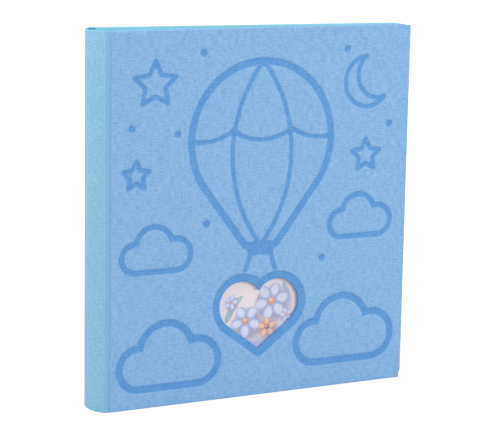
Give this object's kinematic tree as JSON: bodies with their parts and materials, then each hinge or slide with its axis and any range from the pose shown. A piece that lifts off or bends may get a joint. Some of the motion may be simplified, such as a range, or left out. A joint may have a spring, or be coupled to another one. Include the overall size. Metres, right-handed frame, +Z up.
{
  "type": "scrapbook album",
  "caption": "Book-bound photo and scrapbook album with cloth covers, a round hollow spine, turning leaves and a heart-shaped window over a sliding photo print.",
  "frame": {"origin": "middle of the footprint of the closed album as it stands on its tail edges", "axes": "+Z up along the spine to the head, +X from the spine to the fore-edge, -Y out of the front cover"},
  "size_m": [0.2852, 0.0408, 0.305],
  "materials": {
    "spine_cloth": "woven book cloth, matt",
    "cover_cloth": "woven book cloth with pressed lines, matt",
    "greyboard": "bare greyboard",
    "spine_card": "bare card",
    "mull": "open starched gauze",
    "headband": "two-tone woven band",
    "page_card": "matt uncoated",
    "endpaper": "matt uncoated",
    "pocket_paper": "matt uncoated",
    "photo_paper": "satin print"
  },
  "bodies": {
    "album_spine": {"spine_cloth": "spine_cloth", "spine_card": "spine_card", "spine_lining": "mull", "headband_head": "headband", "headband_tail": "headband", "guard_strips": "page_card", "leaf_stubs": "page_card"},
    "front_cover": {"front_joint_cloth": "spine_cloth", "front_board": "greyboard", "front_cover_cloth": "cover_cloth", "front_hinge_lining": "mull", "front_pastedown": "endpaper", "photo_pocket": "pocket_paper"},
    "photo": {"photo_print": "photo_paper"},
    "back_cover": {"back_joint_cloth": "spine_cloth", "back_board": "greyboard", "back_cover_cloth": "cover_cloth", "back_hinge_lining": "mull", "back_pastedown": "endpaper"},
    "front_flyleaf": {"front_flyleaf": "endpaper"},
    "leaf_01": {"leaf_01": "page_card"},
    "leaf_02": {"leaf_02": "page_card"},
    "leaf_03": {"leaf_03": "page_card"},
    "leaf_04": {"leaf_04": "page_card"},
    "leaf_05": {"leaf_05": "page_card"},
    "leaf_06": {"leaf_06": "page_card"},
    "leaf_07": {"leaf_07": "page_card"},
    "leaf_08": {"leaf_08": "page_card"},
    "leaf_09": {"leaf_09": "page_card"},
    "leaf_10": {"leaf_10": "page_card"},
    "leaf_11": {"leaf_11": "page_card"},
    "leaf_12": {"leaf_12": "page_card"},
    "leaf_13": {"leaf_13": "page_card"},
    "leaf_14": {"leaf_14": "page_card"},
    "leaf_15": {"leaf_15": "page_card"},
    "leaf_16": {"leaf_16": "page_card"},
    "leaf_17": {"leaf_17": "page_card"},
    "leaf_18": {"leaf_18": "page_card"},
    "leaf_19": {"leaf_19": "page_card"},
    "leaf_20": {"leaf_20": "page_card"},
    "leaf_21": {"leaf_21": "page_card"},
    "leaf_22": {"leaf_22": "page_card"},
    "leaf_23": {"leaf_23": "page_card"},
    "leaf_24": {"leaf_24": "page_card"},
    "leaf_25": {"leaf_25": "page_card"},
    "leaf_26": {"leaf_26": "page_card"},
    "leaf_27": {"leaf_27": "page_card"},
    "leaf_28": {"leaf_28": "page_card"},
    "leaf_29": {"leaf_29": "page_card"},
    "leaf_30": {"leaf_30": "page_card"},
    "back_flyleaf": {"back_flyleaf": "endpaper"}
  },
  "joints": [
    {"name": "front_cover_hinge", "type": "hinge", "parent": "album_spine", "child": "front_cover", "pos_m": [-0.13411, -0.01975, 0.1525], "axis": [0, 0, -1], "range_deg": [0, 175]},
    {"name": "back_cover_hinge", "type": "hinge", "parent": "album_spine", "child": "back_cover", "pos_m": [-0.13411, 0.01975, 0.1525], "axis": [0, 0, 1], "range_deg": [0, 175]},
    {"name": "photo_slide", "type": "slide", "parent": "front_cover", "child": "photo", "axis": [0, 0, 1], "range_m": [0, 0.075]},
    {"name": "front_flyleaf_hinge", "type": "hinge", "parent": "album_spine", "child": "front_flyleaf", "pos_m": [-0.11991, -0.01566, 0.1525], "axis": [0, 0, -1], "range_deg": [0, 88.5]},
    {"name": "leaf_01_hinge", "type": "hinge", "parent": "album_spine", "child": "leaf_01", "pos_m": [-0.11991, -0.01465, 0.1525], "axis": [0, 0, -1], "range_deg": [0, 81.5]},
    {"name": "leaf_02_hinge", "type": "hinge", "parent": "album_spine", "child": "leaf_02", "pos_m": [-0.11991, -0.01363, 0.1525], "axis": [0, 0, -1], "range_deg": [0, 76.13]},
    {"name": "leaf_03_hinge", "type": "hinge", "parent": "album_spine", "child": "leaf_03", "pos_m": [-0.11991, -0.01263, 0.1525], "axis": [0, 0, -1], "range_deg": [0, 70.77]},
    {"name": "leaf_04_hinge", "type": "hinge", "parent": "album_spine", "child": "leaf_04", "pos_m": [-0.11991, -0.01162, 0.1525], "axis": [0, 0, -1], "range_deg": [0, 65.4]},
    {"name": "leaf_05_hinge", "type": "hinge", "parent": "album_spine", "child": "leaf_05", "pos_m": [-0.11991, -0.0106, 0.1525], "axis": [0, 0, -1], "range_deg": [0, 60.03]},
    {"name": "leaf_06_hinge", "type": "hinge", "parent": "album_spine", "child": "leaf_06", "pos_m": [-0.11991, -0.00959, 0.1525], "axis": [0, 0, -1], "range_deg": [0, 54.67]},
    {"name": "leaf_07_hinge", "type": "hinge", "parent": "album_spine", "child": "leaf_07", "pos_m": [-0.11991, -0.00859, 0.1525], "axis": [0, 0, -1], "range_deg": [0, 49.3]},
    {"name": "leaf_08_hinge", "type": "hinge", "parent": "album_spine", "child": "leaf_08", "pos_m": [-0.11991, -0.00758, 0.1525], "axis": [0, 0, -1], "range_deg": [0, 43.93]},
    {"name": "leaf_09_hinge", "type": "hinge", "parent": "album_spine", "child": "leaf_09", "pos_m": [-0.11991, -0.00656, 0.1525], "axis": [0, 0, -1], "range_deg": [0, 38.57]},
    {"name": "leaf_10_hinge", "type": "hinge", "parent": "album_spine", "child": "leaf_10", "pos_m": [-0.11991, -0.00556, 0.1525], "axis": [0, 0, -1], "range_deg": [0, 33.2]},
    {"name": "leaf_11_hinge", "type": "hinge", "parent": "album_spine", "child": "leaf_11", "pos_m": [-0.11991, -0.00455, 0.1525], "axis": [0, 0, -1], "range_deg": [0, 27.83]},
    {"name": "leaf_12_hinge", "type": "hinge", "parent": "album_spine", "child": "leaf_12", "pos_m": [-0.11991, -0.00353, 0.1525], "axis": [0, 0, -1], "range_deg": [0, 22.47]},
    {"name": "leaf_13_hinge", "type": "hinge", "parent": "album_spine", "child": "leaf_13", "pos_m": [-0.11991, -0.00252, 0.1525], "axis": [0, 0, -1], "range_deg": [0, 17.1]},
    {"name": "leaf_14_hinge", "type": "hinge", "parent": "album_spine", "child": "leaf_14", "pos_m": [-0.11991, -0.00152, 0.1525], "axis": [0, 0, -1], "range_deg": [0, 11.73]},
    {"name": "leaf_15_hinge", "type": "hinge", "parent": "album_spine", "child": "leaf_15", "pos_m": [-0.11991, -0.00051, 0.1525], "axis": [0, 0, -1], "range_deg": [0, 6.37]},
    {"name": "leaf_16_hinge", "type": "hinge", "parent": "album_spine", "child": "leaf_16", "pos_m": [-0.11991, 0.00051, 0.1525], "axis": [0, 0, 1], "range_deg": [0, 6.37]},
    {"name": "leaf_17_hinge", "type": "hinge", "parent": "album_spine", "child": "leaf_17", "pos_m": [-0.11991, 0.00152, 0.1525], "axis": [0, 0, 1], "range_deg": [0, 11.73]},
    {"name": "leaf_18_hinge", "type": "hinge", "parent": "album_spine", "child": "leaf_18", "pos_m": [-0.11991, 0.00252, 0.1525], "axis": [0, 0, 1], "range_deg": [0, 17.1]},
    {"name": "leaf_19_hinge", "type": "hinge", "parent": "album_spine", "child": "leaf_19", "pos_m": [-0.11991, 0.00353, 0.1525], "axis": [0, 0, 1], "range_deg": [0, 22.47]},
    {"name": "leaf_20_hinge", "type": "hinge", "parent": "album_spine", "child": "leaf_20", "pos_m": [-0.11991, 0.00455, 0.1525], "axis": [0, 0, 1], "range_deg": [0, 27.83]},
    {"name": "leaf_21_hinge", "type": "hinge", "parent": "album_spine", "child": "leaf_21", "pos_m": [-0.11991, 0.00556, 0.1525], "axis": [0, 0, 1], "range_deg": [0, 33.2]},
    {"name": "leaf_22_hinge", "type": "hinge", "parent": "album_spine", "child": "leaf_22", "pos_m": [-0.11991, 0.00656, 0.1525], "axis": [0, 0, 1], "range_deg": [0, 38.57]},
    {"name": "leaf_23_hinge", "type": "hinge", "parent": "album_spine", "child": "leaf_23", "pos_m": [-0.11991, 0.00758, 0.1525], "axis": [0, 0, 1], "range_deg": [0, 43.93]},
    {"name": "leaf_24_hinge", "type": "hinge", "parent": "album_spine", "child": "leaf_24", "pos_m": [-0.11991, 0.00859, 0.1525], "axis": [0, 0, 1], "range_deg": [0, 49.3]},
    {"name": "leaf_25_hinge", "type": "hinge", "parent": "album_spine", "child": "leaf_25", "pos_m": [-0.11991, 0.00959, 0.1525], "axis": [0, 0, 1], "range_deg": [0, 54.67]},
    {"name": "leaf_26_hinge", "type": "hinge", "parent": "album_spine", "child": "leaf_26", "pos_m": [-0.11991, 0.0106, 0.1525], "axis": [0, 0, 1], "range_deg": [0, 60.03]},
    {"name": "leaf_27_hinge", "type": "hinge", "parent": "album_spine", "child": "leaf_27", "pos_m": [-0.11991, 0.01162, 0.1525], "axis": [0, 0, 1], "range_deg": [0, 65.4]},
    {"name": "leaf_28_hinge", "type": "hinge", "parent": "album_spine", "child": "leaf_28", "pos_m": [-0.11991, 0.01263, 0.1525], "axis": [0, 0, 1], "range_deg": [0, 70.77]},
    {"name": "leaf_29_hinge", "type": "hinge", "parent": "album_spine", "child": "leaf_29", "pos_m": [-0.11991, 0.01363, 0.1525], "axis": [0, 0, 1], "range_deg": [0, 76.13]},
    {"name": "leaf_30_hinge", "type": "hinge", "parent": "album_spine", "child": "leaf_30", "pos_m": [-0.11991, 0.01465, 0.1525], "axis": [0, 0, 1], "range_deg": [0, 81.5]},
    {"name": "back_flyleaf_hinge", "type": "hinge", "parent": "album_spine", "child": "back_flyleaf", "pos_m": [-0.11991, 0.01566, 0.1525], "axis": [0, 0, 1], "range_deg": [0, 88.5]}
  ],
  "couplings": [
    {"joint": "front_flyleaf_hinge", "follows": "front_cover_hinge", "ratio": 0.5},
    {"joint": "leaf_01_hinge", "follows": "front_cover_hinge", "ratio": 0.46},
    {"joint": "leaf_02_hinge", "follows": "front_cover_hinge", "ratio": 0.4293},
    {"joint": "leaf_03_hinge", "follows": "front_cover_hinge", "ratio": 0.3987},
    {"joint": "leaf_04_hinge", "follows": "front_cover_hinge", "ratio": 0.368},
    {"joint": "leaf_05_hinge", "follows": "front_cover_hinge", "ratio": 0.3373},
    {"joint": "leaf_06_hinge", "follows": "front_cover_hinge", "ratio": 0.3067},
    {"joint": "leaf_07_hinge", "follows": "front_cover_hinge", "ratio": 0.276},
    {"joint": "leaf_08_hinge", "follows": "front_cover_hinge", "ratio": 0.2453},
    {"joint": "leaf_09_hinge", "follows": "front_cover_hinge", "ratio": 0.2147},
    {"joint": "leaf_10_hinge", "follows": "front_cover_hinge", "ratio": 0.184},
    {"joint": "leaf_11_hinge", "follows": "front_cover_hinge", "ratio": 0.1533},
    {"joint": "leaf_12_hinge", "follows": "front_cover_hinge", "ratio": 0.1227},
    {"joint": "leaf_13_hinge", "follows": "front_cover_hinge", "ratio": 0.092},
    {"joint": "leaf_14_hinge", "follows": "front_cover_hinge", "ratio": 0.0613},
    {"joint": "leaf_15_hinge", "follows": "front_cover_hinge", "ratio": 0.0307},
    {"joint": "leaf_16_hinge", "follows": "back_cover_hinge", "ratio": 0.0307},
    {"joint": "leaf_17_hinge", "follows": "back_cover_hinge", "ratio": 0.0613},
    {"joint": "leaf_18_hinge", "follows": "back_cover_hinge", "ratio": 0.092},
    {"joint": "leaf_19_hinge", "follows": "back_cover_hinge", "ratio": 0.1227},
    {"joint": "leaf_20_hinge", "follows": "back_cover_hinge", "ratio": 0.1533},
    {"joint": "leaf_21_hinge", "follows": "back_cover_hinge", "ratio": 0.184},
    {"joint": "leaf_22_hinge", "follows": "back_cover_hinge", "ratio": 0.2147},
    {"joint": "leaf_23_hinge", "follows": "back_cover_hinge", "ratio": 0.2453},
    {"joint": "leaf_24_hinge", "follows": "back_cover_hinge", "ratio": 0.276},
    {"joint": "leaf_25_hinge", "follows": "back_cover_hinge", "ratio": 0.3067},
    {"joint": "leaf_26_hinge", "follows": "back_cover_hinge", "ratio": 0.3373},
    {"joint": "leaf_27_hinge", "follows": "back_cover_hinge", "ratio": 0.368},
    {"joint": "leaf_28_hinge", "follows": "back_cover_hinge", "ratio": 0.3987},
    {"joint": "leaf_29_hinge", "follows": "back_cover_hinge", "ratio": 0.4293},
    {"joint": "leaf_30_hinge", "follows": "back_cover_hinge", "ratio": 0.46},
    {"joint": "back_flyleaf_hinge", "follows": "back_cover_hinge", "ratio": 0.5}
  ]
}
